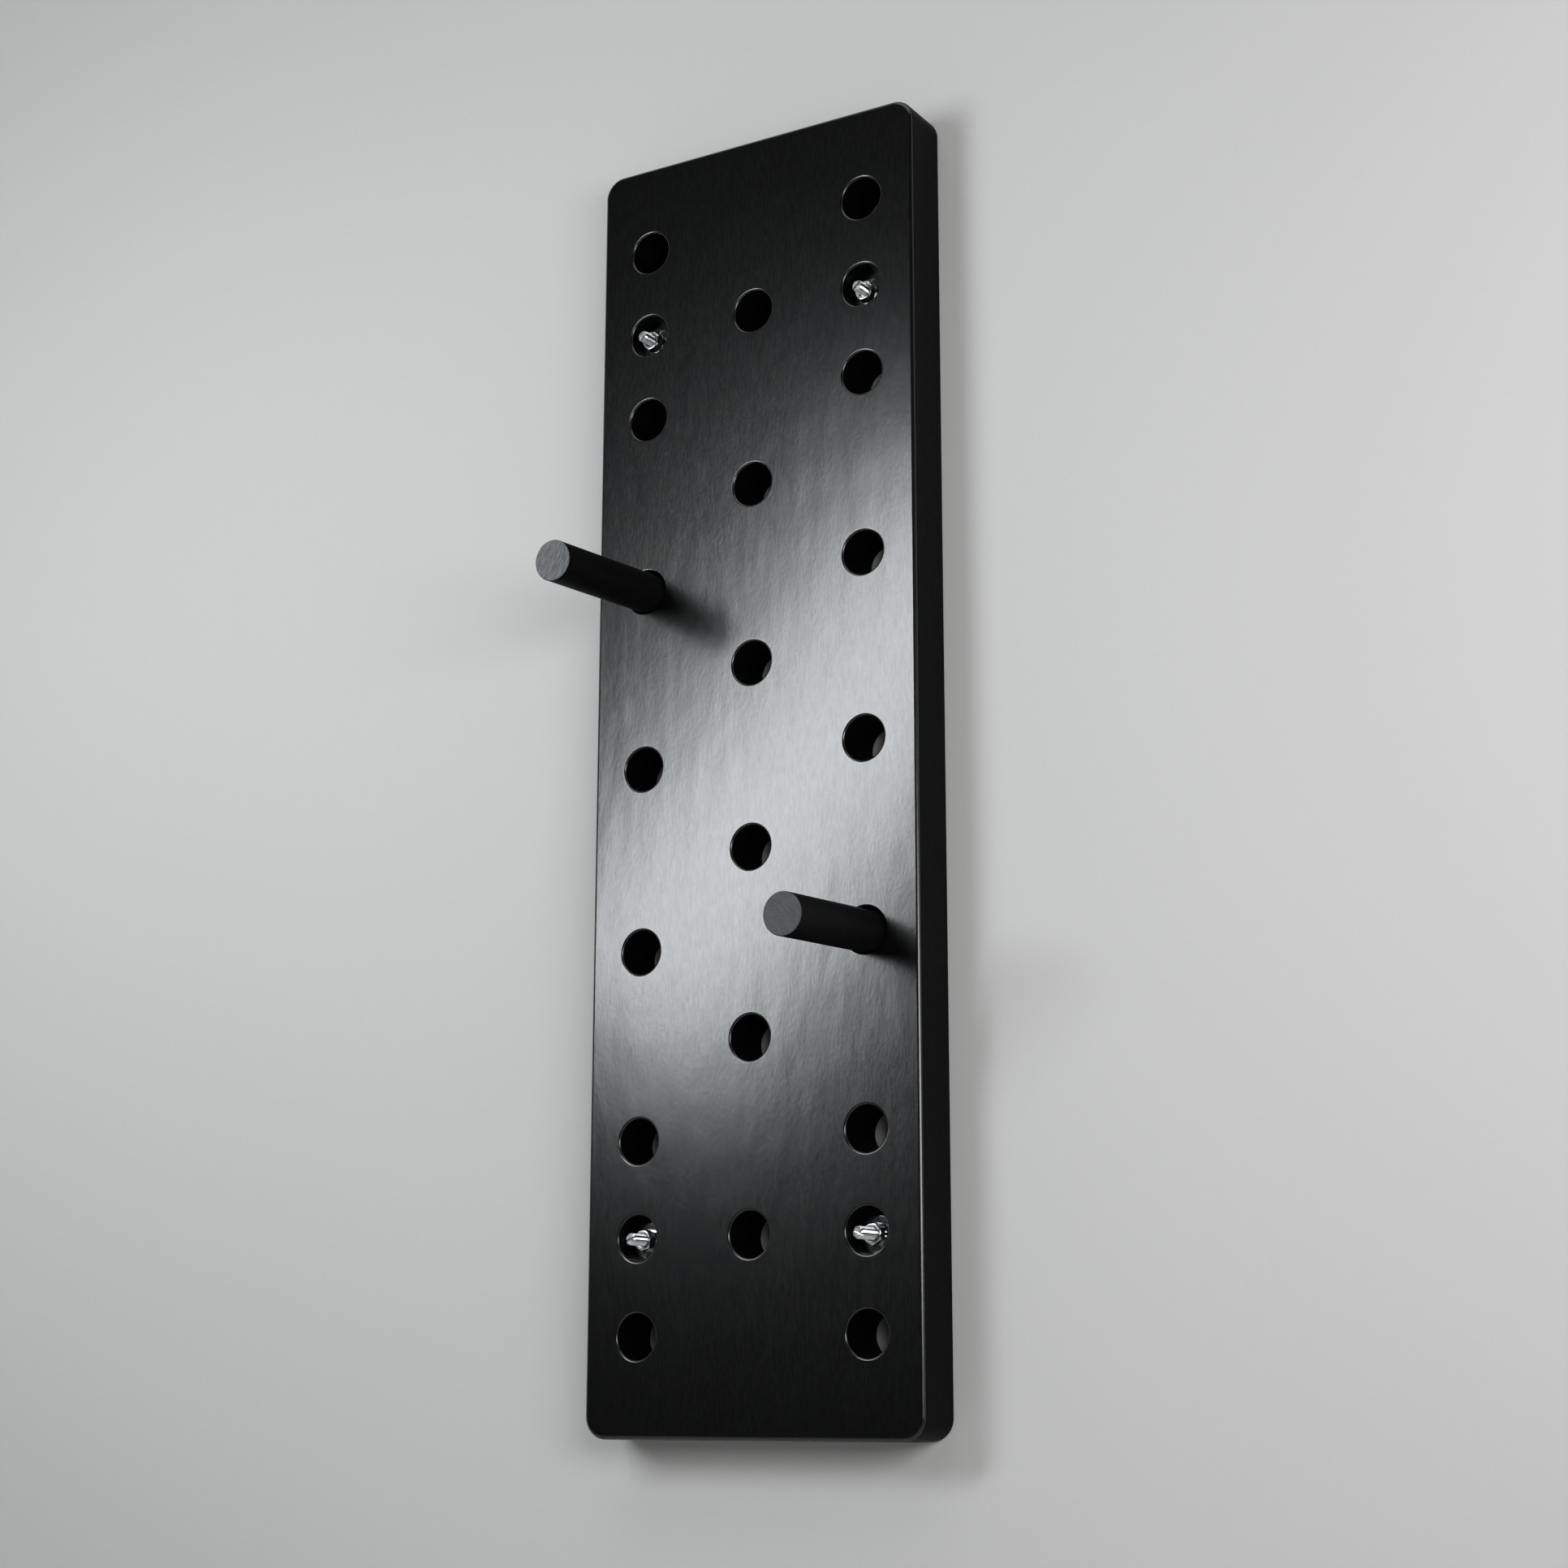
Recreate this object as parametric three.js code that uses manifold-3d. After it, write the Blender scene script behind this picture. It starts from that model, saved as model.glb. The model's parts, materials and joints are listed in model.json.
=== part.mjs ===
// Climbing pegboard: a drilled board anchored to a wall, with two loose climbing pegs in it.
// Millimetres, +Z up. The wall is the plane Y = 0 and the front of the board faces -Y.
// The origin is the centre of the board's back face. Left and right are as seen from the front.
import * as THREE from "three";
import { mergeVertices } from "three/addons/utils/BufferGeometryUtils.js";
import Module from "manifold-3d";

// Board
const boardWidth = 256;
const boardHeight = 900;
const boardThickness = 40;
const boardCornerRadius = 15;
const boardEdgeRadius = 3; // round-over along the front and back edges

// Hole pattern
const sideMargin = 40.5; // outer columns' centres to the board's sides
const endMargin = 66; // first and last rows' centres to the board's ends
const rowsEachWay = 6; // rows above and below the middle one
const boreDiameter = 30;
const mouthRadius = 1.75; // round-over at both ends of a bore
const pocketDepth = 15; // flat-bottomed recess over each anchor
const boltPlay = 3; // radial room round an anchor stud in the board

// Pegs
const pegLength = 140;
const pegPlay = 2; // how much thinner a peg is than its bore
const pegChamfer = 1;
const pegRestGapShare = 0.12; // of the play, left open where a leaning peg touches its bore

// Anchor stud and expansion sleeve
const studDiameter = 8;
const studChamfer = 1;
const slotWidth = 1.4;
const slotDepth = 2.2;
const embedDepth = 46; // least depth of a stud behind the wall face
const coneLength = 14;
const coneTipLength = 2; // cylindrical end of the cone
const wedgeLength = 7; // how far the cone has been drawn into the sleeve
const sleeveWall = 1.7;
const sleeveInset = 1; // sleeve's mouth below the wall face
const slitLength = 22;
const slitWidth = 1.5;
const slitCount = 4;

// Nut and washers
const nutWidth = 13; // across the flats
const nutHeight = 6.8;
const nutChamferAngle = 30;
const nutFaceShare = 0.95; // of the width across flats, kept by the round face
const nutCountersink = 0.6;
const flatWasherThickness = 2;
const lockWasherThickness = 2;
const lockWasherBand = 3.1; // radial width of its section
const lockWasherSplit = 1.6;

// Fits and facets
const fitGap = 0.3;
const cutOverrun = 5;
const boreSegments = 28;
const pegSegments = 28;
const smallSegments = 20;
const mouthSteps = 2;
const edgeSteps = 3;
const cornerSteps = 8;

// Sizes that follow from those above
const columnPitch = boardWidth / 2 - sideMargin;
const rowPitch = (boardHeight / 2 - endMargin) / rowsEachWay;
const rowCount = 2 * rowsEachWay + 1;
const boreRadius = boreDiameter / 2;
const pegRadius = boreRadius - pegPlay / 2;
const studRadius = studDiameter / 2;
const boltHoleRadius = studRadius + boltPlay;
const studShift = boltPlay - fitGap; // most that a stud may sit off its hole's centre
const flatWasherRadius = boreRadius - studShift - fitGap;
const sleeveRadius = studRadius + fitGap + sleeveWall;
const pocketFloor = pocketDepth - boardThickness;
const nutBack = pocketFloor - flatWasherThickness - lockWasherThickness;
const nutFront = nutBack - nutHeight;

// Places in the pattern: columns are -1, 0 and 1, and rows count from the top.
const columnX = (column) => column * columnPitch;
const rowZ = (row) => (rowsEachWay + 1 - row) * rowPitch;

const pegs = [
  { name: "left", column: -1, row: rowsEachWay - 1, seatShare: 0.72 },
  { name: "right", column: 1, row: rowsEachWay + 3, seatShare: 0.92 },
];

// Each stud sits a little off its hole's centre, and stands out of its nut by its own amount.
// Shares aside and below are of the room a stud has, and a stand is a share of its diameter.
const anchors = [
  {
    name: "upper_left",
    column: -1,
    row: 2,
    asideShare: -0.8,
    belowShare: 0.55,
    standShare: 1.25,
    slotAngle: 66,
    nutAngle: 12,
  },
  {
    name: "upper_right",
    column: 1,
    row: 2,
    asideShare: -0.3,
    belowShare: 0.9,
    standShare: 1.15,
    slotAngle: 40,
    nutAngle: 25,
  },
  {
    name: "lower_left",
    column: -1,
    row: rowCount - 1,
    asideShare: 0.4,
    belowShare: 0.4,
    standShare: 1.75,
    slotAngle: 20,
    nutAngle: 16,
  },
  {
    name: "lower_right",
    column: 1,
    row: rowCount - 1,
    asideShare: 0.5,
    belowShare: 0.8,
    standShare: 2.25,
    slotAngle: -25,
    nutAngle: 0,
  },
];
const standOut = (anchor) => anchor.standShare * studDiameter;
const longestStand = Math.max(...anchors.map(standOut));
const studLength = longestStand - nutFront + embedDepth; // one stock length, set by the longest need
const sleeveLength = embedDepth - coneLength + wedgeLength - sleeveInset;

// Materials
const lacqueredWood = new THREE.MeshStandardMaterial({ color: 0x101113, roughness: 0.38, metalness: 0 });
const stainedWood = new THREE.MeshStandardMaterial({ color: 0x1c1d1f, roughness: 0.75, metalness: 0 });
const platedSteel = new THREE.MeshStandardMaterial({ color: 0xc8cbce, roughness: 0.28, metalness: 1 });
for (const material of [lacqueredWood, stainedWood, platedSteel]) material.flatShading = true;

// Solids
const wasm = await Module();
wasm.setup();

function solidOf(geometry) {
  const bare = geometry.clone();
  bare.deleteAttribute("normal");
  bare.deleteAttribute("uv");
  const merged = mergeVertices(bare);
  const corners = merged.index.array;
  const kept = [];
  for (let i = 0; i < corners.length; i += 3) {
    const [a, b, c] = corners.slice(i, i + 3);
    if (a !== b && b !== c && c !== a) kept.push(a, b, c);
  }
  return new wasm.Manifold(
    new wasm.Mesh({
      numProp: 3,
      vertProperties: merged.attributes.position.array,
      triVerts: new Uint32Array(kept),
    }),
  );
}

function geometryOf(solid) {
  const mesh = solid.getMesh();
  const geometry = new THREE.BufferGeometry();
  geometry.setAttribute("position", new THREE.BufferAttribute(mesh.vertProperties, mesh.numProp));
  geometry.setIndex(new THREE.BufferAttribute(mesh.triVerts, 1));
  return geometry;
}

// A solid turned about the Y axis from [radius, y] points that start and end on the axis.
function turned(points, segments) {
  const profile = points.map(([radius, y]) => new THREE.Vector2(radius, y));
  return new THREE.LatheGeometry(profile, segments);
}

// A shape drawn as seen from the front, from the depth `back` forwards to `front`.
function plate(shape, back, front, steps) {
  const depth = back - front;
  const geometry = new THREE.ExtrudeGeometry(shape, { depth, bevelEnabled: false, curveSegments: steps });
  return geometry.rotateX(Math.PI / 2).translate(0, back, 0);
}

function roundedRectangle(width, height, radius) {
  const shape = new THREE.Shape();
  const [x, y] = [width / 2 - radius, height / 2 - radius];
  shape.absarc(x, y, radius, 0, Math.PI / 2);
  shape.absarc(-x, y, radius, Math.PI / 2, Math.PI);
  shape.absarc(-x, -y, radius, Math.PI, 1.5 * Math.PI);
  shape.absarc(x, -y, radius, 1.5 * Math.PI, 2 * Math.PI);
  return shape;
}

// Quarter-round from [inner + round, y] to [inner, y + way * round], for the mouth of a bore.
function mouthArc(inner, round, y, way) {
  return Array.from({ length: mouthSteps + 1 }, (_, step) => {
    const angle = (step / mouthSteps) * (Math.PI / 2);
    return [inner + round * (1 - Math.sin(angle)), y + way * round * (1 - Math.cos(angle))];
  });
}

// Board
function boardBlank() {
  const geometry = new THREE.ExtrudeGeometry(roundedRectangle(boardWidth, boardHeight, boardCornerRadius), {
    depth: boardThickness - 2 * boardEdgeRadius,
    curveSegments: cornerSteps / 2, // an arc gets two facets for each of these
    bevelThickness: boardEdgeRadius,
    bevelSize: boardEdgeRadius,
    bevelOffset: -boardEdgeRadius,
    bevelSegments: edgeSteps,
  });
  return geometry.rotateX(Math.PI / 2).translate(0, -boardEdgeRadius, 0);
}

// Through bore for a peg, with a rounded mouth on both faces.
function boreCutter() {
  const mouth = boreRadius + mouthRadius;
  return turned(
    [
      [0, -boardThickness - cutOverrun],
      [mouth, -boardThickness - cutOverrun],
      ...mouthArc(boreRadius, mouthRadius, -boardThickness, 1),
      ...mouthArc(boreRadius, mouthRadius, 0, -1).reverse(),
      [mouth, cutOverrun],
      [0, cutOverrun],
    ],
    boreSegments,
  );
}

// Flat-bottomed pocket for nut and washers, with the bolt hole through its floor.
function anchorCutter() {
  const mouth = boreRadius + mouthRadius;
  return turned(
    [
      [0, -boardThickness - cutOverrun],
      [mouth, -boardThickness - cutOverrun],
      ...mouthArc(boreRadius, mouthRadius, -boardThickness, 1),
      [boreRadius, pocketFloor],
      [boltHoleRadius, pocketFloor],
      [boltHoleRadius, cutOverrun],
      [0, cutOverrun],
    ],
    boreSegments,
  );
}

const isAnchorPlace = (column, row) =>
  anchors.some((anchor) => anchor.column === column && anchor.row === row);

function drilledBoard() {
  let board = solidOf(boardBlank());
  const bore = solidOf(boreCutter());
  const pocket = solidOf(anchorCutter());
  for (let row = 1; row <= rowCount; row += 1) {
    for (const column of [-1, 0, 1]) {
      const anchored = isAnchorPlace(column, row);
      const drilled = column === 0 ? row % 2 === 0 : row % 2 === 1;
      if (!anchored && !drilled) continue;
      const cutter = anchored ? pocket : bore;
      board = board.subtract(cutter.translate([columnX(column), 0, rowZ(row)]));
    }
  }
  return geometryOf(board);
}

// Pegs: each lies in its bore as it would rest, leaning down by the play that it has there.
function pegGeometry(inside) {
  const outer = inside - pegLength;
  return turned(
    [
      [0, outer],
      [pegRadius - pegChamfer, outer],
      [pegRadius, outer + pegChamfer],
      [pegRadius, inside - pegChamfer],
      [pegRadius - pegChamfer, inside],
      [0, inside],
    ],
    pegSegments,
  );
}

function pegMesh(peg) {
  const seat = peg.seatShare * boardThickness;
  const restGap = pegRestGapShare * pegPlay;
  const lever = seat - mouthRadius - pegChamfer;
  const lean = Math.atan((pegPlay - 2 * restGap) / lever);
  const inside = (seat - mouthRadius) / Math.cos(lean);
  const mesh = new THREE.Mesh(pegGeometry(inside), stainedWood);
  mesh.name = `peg_${peg.name}`;
  const drop = boreRadius - restGap - pegRadius / Math.cos(lean);
  mesh.position.set(columnX(peg.column), mouthRadius - boardThickness, rowZ(peg.row) - drop);
  mesh.rotation.x = lean;
  return mesh;
}

// Anchor stud: slotted at its outer end, with the expansion cone at its inner end.
function studGeometry(slotAngle) {
  const coneStart = studLength - coneLength;
  const blank = turned(
    [
      [0, 0],
      [studRadius - studChamfer, 0],
      [studRadius, studChamfer],
      [studRadius, coneStart],
      [sleeveRadius, studLength - coneTipLength],
      [sleeveRadius, studLength],
      [0, studLength],
    ],
    smallSegments,
  );
  const slot = new THREE.BoxGeometry(studDiameter + cutOverrun, 2 * slotDepth, slotWidth);
  slot.rotateY(THREE.MathUtils.degToRad(-slotAngle));
  return geometryOf(solidOf(blank).subtract(solidOf(slot)));
}

// Expansion sleeve: a tube slit from its inner end, where the cone has spread it.
function sleeveGeometry() {
  const bore = studRadius + fitGap;
  const flareStart = sleeveLength - wedgeLength;
  const coneSlope = (sleeveRadius - studRadius) / (coneLength - coneTipLength);
  const flare = coneSlope * wedgeLength;
  const tube = turned(
    [
      [bore, 0],
      [sleeveRadius, 0],
      [sleeveRadius, flareStart],
      [sleeveRadius + flare, sleeveLength],
      [bore + flare, sleeveLength],
      [bore, flareStart],
      [bore, 0],
    ],
    smallSegments,
  );
  let sleeve = solidOf(tube);
  const reach = sleeveRadius + flare + cutOverrun;
  for (let i = 0; i < slitCount; i += 1) {
    const slit = new THREE.BoxGeometry(reach, slitLength + cutOverrun, slitWidth);
    slit.translate(reach / 2, sleeveLength + (cutOverrun - slitLength) / 2, 0);
    slit.rotateY(((i + 0.5) * 2 * Math.PI) / slitCount);
    sleeve = sleeve.subtract(solidOf(slit));
  }
  return geometryOf(sleeve);
}

function flatWasherGeometry() {
  const inner = studRadius + fitGap;
  return turned(
    [
      [inner, 0],
      [flatWasherRadius, 0],
      [flatWasherRadius, flatWasherThickness],
      [inner, flatWasherThickness],
      [inner, 0],
    ],
    smallSegments,
  );
}

// Spring lock washer, closed flat by the nut, with its split showing.
function lockWasherGeometry() {
  const inner = studRadius + fitGap;
  const outer = inner + lockWasherBand;
  const [outerCut, innerCut] = [outer, inner].map((radius) => Math.asin(lockWasherSplit / 2 / radius));
  const shape = new THREE.Shape();
  shape.absarc(0, 0, outer, outerCut, 2 * Math.PI - outerCut, false);
  shape.absarc(0, 0, inner, 2 * Math.PI - innerCut, innerCut, true);
  return plate(shape, lockWasherThickness, 0, smallSegments / 2);
}

// Hexagon nut: the prism's corners are turned off by a cone at each end.
function nutGeometry() {
  const corner = nutWidth / Math.sqrt(3);
  const shape = new THREE.Shape(
    Array.from({ length: 6 }, (_, i) => {
      const angle = ((i + 0.5) * Math.PI) / 3;
      return new THREE.Vector2(corner * Math.cos(angle), corner * Math.sin(angle));
    }),
  );
  const face = (nutFaceShare * nutWidth) / 2;
  const fall = (corner - face) * Math.tan(THREE.MathUtils.degToRad(nutChamferAngle));
  const barrel = turned(
    [
      [0, 0],
      [face, 0],
      [corner, fall],
      [corner, nutHeight - fall],
      [face, nutHeight],
      [0, nutHeight],
    ],
    smallSegments,
  );
  const bore = studRadius + fitGap;
  const opening = turned(
    [
      [0, -cutOverrun],
      [bore + nutCountersink + cutOverrun, -cutOverrun],
      [bore, nutCountersink],
      [bore, nutHeight - nutCountersink],
      [bore + nutCountersink + cutOverrun, nutHeight + cutOverrun],
      [0, nutHeight + cutOverrun],
    ],
    smallSegments,
  );
  const prism = solidOf(plate(shape, nutHeight, 0, 1));
  return geometryOf(prism.intersect(solidOf(barrel)).subtract(solidOf(opening)));
}

// One anchor: its five pieces stand in line along Y.
function anchorGroup(anchor) {
  const group = new THREE.Group();
  const x = columnX(anchor.column) + anchor.asideShare * studShift;
  const z = rowZ(anchor.row) - anchor.belowShare * studShift;
  group.position.set(x, 0, z);
  const studTip = nutFront - standOut(anchor);
  const studEnd = studTip + studLength;
  const pieces = [
    ["anchor_stud", studGeometry(anchor.slotAngle), studTip],
    ["anchor_sleeve", sleeveGeometry(), studEnd - coneLength + wedgeLength - sleeveLength],
    ["flat_washer", flatWasherGeometry(), pocketFloor - flatWasherThickness],
    ["lock_washer", lockWasherGeometry(), nutBack],
    ["hex_nut", nutGeometry(), nutFront],
  ];
  for (const [name, geometry, y] of pieces) {
    const mesh = new THREE.Mesh(geometry, platedSteel);
    mesh.name = `${name}_${anchor.name}`;
    mesh.position.y = y;
    if (name === "hex_nut") mesh.rotation.y = THREE.MathUtils.degToRad(anchor.nutAngle);
    group.add(mesh);
  }
  return group;
}

const pegboard = new THREE.Group();
const board = new THREE.Mesh(drilledBoard(), lacqueredWood);
board.name = "board";
pegboard.add(board, ...pegs.map(pegMesh), ...anchors.map(anchorGroup));

export default pegboard;
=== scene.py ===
# Climbing pegboard: a black lacquered board on four wall anchors, with two loose pegs in it.
# Laid out as an add-on. Metres, +Z up; the wall is the plane Y = 0 and the board faces -Y.
# Left and right are as seen from the front.
import json
import math

import bmesh
import bpy
from mathutils import Euler, Matrix, Vector
from mathutils.geometry import tessellate_polygon


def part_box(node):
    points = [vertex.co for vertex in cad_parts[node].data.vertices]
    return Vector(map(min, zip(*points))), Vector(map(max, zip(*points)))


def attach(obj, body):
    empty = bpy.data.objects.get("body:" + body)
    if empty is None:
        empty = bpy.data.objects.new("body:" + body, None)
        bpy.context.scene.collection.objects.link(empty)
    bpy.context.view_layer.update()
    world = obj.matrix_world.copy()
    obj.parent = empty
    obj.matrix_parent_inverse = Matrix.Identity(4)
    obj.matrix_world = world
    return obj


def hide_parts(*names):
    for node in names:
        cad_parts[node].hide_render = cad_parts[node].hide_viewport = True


bl_info = {
    "name": "Climbing pegboard",
    "version": (1, 0, 0),
    "blender": (4, 5, 0),
    "location": "3D View > Sidebar > Pegboard",
    "description": "Builds a lacquered climbing pegboard with its wall anchors, pegs and studio",
    "category": "Object",
}

# The packed model, and the places and sizes that follow from it
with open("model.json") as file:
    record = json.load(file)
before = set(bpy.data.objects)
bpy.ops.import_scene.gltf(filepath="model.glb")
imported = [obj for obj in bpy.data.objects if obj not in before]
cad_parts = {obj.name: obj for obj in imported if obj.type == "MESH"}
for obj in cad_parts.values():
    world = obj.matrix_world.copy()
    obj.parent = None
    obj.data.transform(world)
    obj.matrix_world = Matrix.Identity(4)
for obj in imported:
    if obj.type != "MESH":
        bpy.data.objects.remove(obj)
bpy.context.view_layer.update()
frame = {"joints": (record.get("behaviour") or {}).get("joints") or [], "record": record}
MM = 0.001
ROWS = 13
COLUMNS = 3
ANCHOR_ROW = 5  # anchors sit this many rows above and below the middle one
BOARD_LOW, BOARD_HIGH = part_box("board")
BOARD_SIZE = BOARD_HIGH - BOARD_LOW

# The anchors, and how each one's slot and nut are turned, in degrees
ANCHORS = ("upper_left", "upper_right", "lower_left", "lower_right")
SLOT_TURNS = (-66, -40, -20, 25)
NUT_TURNS = (12, 25, 16, 0)
NO_TURNS = (0, 0, 0, 0)


def hole_centre(name):
    """Centre of a peg hole, from the opening that the record states for it."""
    for opening in frame["record"]["physics"]["openings"]:
        if opening["name"] == name:
            low, high = opening["box_m"]
            return (Vector(low) + Vector(high)) / 2
    raise ValueError(f"the record has no opening named {name}")


FIRST_HOLE = hole_centre("peg_hole_row_01_left")
LAST_HOLE = hole_centre("peg_hole_row_13_right")
COLUMN_PITCH = (LAST_HOLE.x - FIRST_HOLE.x) / (COLUMNS - 1)
ROW_PITCH = (FIRST_HOLE.z - LAST_HOLE.z) / (ROWS - 1)


# Properties
def size(name, description, millimetres):
    return bpy.props.FloatProperty(
        name=name, description=description, default=millimetres * MM, min=0.0, precision=5, unit="LENGTH"
    )


def colour(name, description, value):
    return bpy.props.FloatVectorProperty(
        name=name, description=description, default=value, min=0.0, max=1.0, size=3, subtype="COLOR"
    )


def share(name, description, value):
    return bpy.props.FloatProperty(
        name=name, description=description, default=value, min=0.0, max=1.0, subtype="FACTOR"
    )


def power(name, description, watts):
    return bpy.props.FloatProperty(
        name=name, description=description, default=watts, min=0.0, unit="POWER"
    )


def count(name, description, value):
    return bpy.props.IntProperty(name=name, description=description, default=value, min=1)


class PegboardBoardSizes(bpy.types.PropertyGroup):
    """Sizes of the board that the packed model's boxes don't give"""

    corner_radius: size("Corner radius", "Radius of the board's four corners", 15)
    edge_radius: size("Edge radius", "Round-over along the front and back edges", 3)
    bore_radius: size("Bore radius", "Radius of a peg hole", 15)
    mouth_radius: size("Mouth radius", "Round-over at the mouth of a hole", 1.75)
    pocket_depth: size("Pocket depth", "Depth of the flat-bottomed anchor pockets", 15)
    bolt_hole_radius: size("Bolt hole radius", "Radius of the hole through a pocket's floor", 7)
    bore_facets: count("Bore facets", "Facets round each hole", 96)
    round_steps: count("Round-over steps", "Facets across each round-over", 8)
    corner_steps: count("Corner steps", "Facets along each corner of the board", 24)
    cut_share: share("Cut share", "Faces that turn less than this to the front take the cut finish", 0.3)


class PegboardPegSizes(bpy.types.PropertyGroup):
    """Sizes of the pegs' ends"""

    end_round: size("End round", "Round-over at a peg's ends", 1)
    facets: count("Facets", "Facets round a peg", 96)
    round_steps: count("Round-over steps", "Facets across each round-over", 6)
    flat_share: share("Flat share", "Faces that turn more than this to a peg's ends show end grain", 0.5)


class PegboardFixingSizes(bpy.types.PropertyGroup):
    """Sizes of the wall anchors, their nuts and their washers"""

    stud_radius: size("Stud radius", "Outer radius of the stud's thread", 4)
    stud_chamfer: size("Stud chamfer", "Chamfer at the stud's outer end", 1)
    thread_pitch: size("Thread pitch", "Distance between two turns of the thread", 1.25)
    thread_depth: size("Thread depth", "Depth of the thread's groove", 0.72)
    thread_length: size("Thread length", "Length of the threaded end", 46)
    slot_width: size("Slot width", "Width of the screwdriver slot", 1.4)
    slot_depth: size("Slot depth", "Depth of the screwdriver slot", 2.2)
    cone_length: size("Cone length", "Length of the cone at the stud's inner end", 14)
    cone_tip: size("Cone tip", "Length of the straight end of the cone", 2)
    nut_width: size("Nut width", "Width across the nut's flats", 13)
    nut_fall: size("Nut chamfer fall", "Height of the turned-off corners", 0.75)
    nut_face: share("Nut face", "Radius of a nut's round face, as a share of its width", 0.475)
    nut_countersink: size("Nut countersink", "Countersink at each end of the nut's bore", 0.6)
    bore_play: size("Bore play", "Room between the stud and what it passes through", 0.08)
    washer_play: size("Washer play", "Room between the stud and its washers", 0.3)
    washer_round: size("Washer round", "Round-over along a washer's edges", 0.3)
    split_width: size("Split width", "Split in a spring lock washer", 1.6)
    sleeve_wall: size("Sleeve wall", "Wall of the expansion sleeve", 1.7)
    sleeve_wedge: size("Sleeve wedge", "Length of the sleeve that the cone has spread", 7)
    slit_length: size("Slit length", "Length of the sleeve's slits", 22)
    slit_width: size("Slit width", "Width of the sleeve's slits", 1.5)
    facets: count("Facets", "Facets round the anchors' pieces", 64)
    rings_per_turn: count("Rings per turn", "Rings of points along one turn of the thread", 8)


class PegboardFinishes(bpy.types.PropertyGroup):
    """Colours of the finishes"""

    lacquer: colour("Lacquer", "Black lacquer on the board", (0.0010, 0.0011, 0.0012))
    dust: colour("Dust", "Specks of dust in the lacquer", (0.30, 0.30, 0.30))
    stain: colour("Stain", "Black stain along the pegs", (0.0018, 0.0019, 0.0019))
    end_grain: colour("End grain", "Stained end grain of the pegs", (0.060, 0.064, 0.067))
    plating: colour("Plating", "Bright zinc plating", (0.55, 0.56, 0.57))
    lacquer_roughness: share("Lacquer roughness", "Roughness of the satin lacquer", 0.220)
    lacquer_unevenness: share("Lacquer unevenness", "Change of roughness along its streaks", 0.016)


class PegboardStudio(bpy.types.PropertyGroup):
    """The plain studio round the board"""

    wall: colour("Wall", "Colour of the wall", (0.44, 0.44, 0.435))
    floor: colour("Floor", "Colour of the floor", (0.78, 0.78, 0.77))
    card: colour("Card", "Black card in front of the board, which its lacquer mirrors", (0.012,) * 3)
    key_power: power("Key power", "Power of the main lamp", 12.3)
    fill_power: power("Fill power", "Power of the soft lamp on the right", 16.5)
    wash_power: power("Wash power", "Power of the overhead lamp", 30.0)
    wall_power: power("Wall power", "Power of each lamp on the wall's ends", 13.0)
    back_power: power("Back power", "Power of the lamp behind the wall", 15.0)
    room_light: share("Room light", "Strength of the pale light from all round", 0.75)


# Node trees
class Flow:
    """What comes out of a node. A sum or a comparison with it adds a maths node to its graph."""

    def __init__(self, graph, socket):
        self.graph = graph
        self.socket = socket

    def __add__(self, other):
        return self.graph.maths("ADD", self, other)

    def __sub__(self, other):
        return self.graph.maths("SUBTRACT", self, other)

    def __rsub__(self, other):
        return self.graph.maths("SUBTRACT", other, self)

    def __mul__(self, other):
        return self.graph.maths("MULTIPLY", self, other)

    def __truediv__(self, other):
        return self.graph.maths("DIVIDE", self, other)

    def __rtruediv__(self, other):
        return self.graph.maths("DIVIDE", other, self)

    def __mod__(self, other):
        return self.graph.maths("FLOORED_MODULO", self, other)

    def __lt__(self, other):
        return self.graph.maths("LESS_THAN", self, other)

    def __gt__(self, other):
        return self.graph.maths("GREATER_THAN", self, other)

    def __neg__(self):
        return self.graph.maths("MULTIPLY", self, -1.0)

    def __abs__(self):
        return self.graph.maths("ABSOLUTE", self)


class Graph:
    """A node tree under construction. add() gives a new node's output, so that nodes can be nested."""

    def __init__(self, tree):
        self.tree = tree
        self.given = {}

    def node(self, kind, inputs=None, **settings):
        """A new node. Each input is a value, a flow or a list of flows."""
        node = self.tree.nodes.new(kind)
        for name, value in settings.items():
            setattr(node, name, value)
        for key, value in (inputs or {}).items():
            for one in value if isinstance(value, list) else [value]:
                if isinstance(one, Flow):
                    self.tree.links.new(one.socket, node.inputs[key])
                else:
                    node.inputs[key].default_value = one
        return node

    def add(self, kind, inputs=None, out=0, **settings):
        return Flow(self, self.node(kind, inputs, **settings).outputs[out])

    def named(self, kind, inputs=None, **settings):
        """All outputs of a new node, by name."""
        node = self.node(kind, inputs, **settings)
        return {output.name: Flow(self, output) for output in node.outputs}

    def maths(self, operation, *values):
        return self.add("ShaderNodeMath", dict(enumerate(values)), operation=operation)

    def vector_maths(self, operation, *values):
        return self.add("ShaderNodeVectorMath", dict(enumerate(values)), operation=operation)

    def vector(self, x=0.0, y=0.0, z=0.0):
        return self.add("ShaderNodeCombineXYZ", {0: x, 1: y, 2: z})

    def axes(self, vector):
        """The X, Y and Z of a vector."""
        return self.named("ShaderNodeSeparateXYZ", {0: vector}).values()

    def remap(self, value, span, to=(0.0, 1.0)):
        """A value from one span in another, and held within it."""
        return self.add("ShaderNodeMapRange", dict(enumerate((value, *span, *to))))

    def noise(self, place, scale=1.0, detail=2.0, roughness=0.5):
        inputs = {"Vector": place, "Scale": scale, "Detail": detail, "Roughness": roughness}
        return self.add("ShaderNodeTexNoise", inputs)


SOCKET_TYPES = {
    float: "NodeSocketFloat",
    int: "NodeSocketInt",
    Vector: "NodeSocketVector",
    Euler: "NodeSocketVector",
    bpy.types.Material: "NodeSocketMaterial",
}


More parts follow.
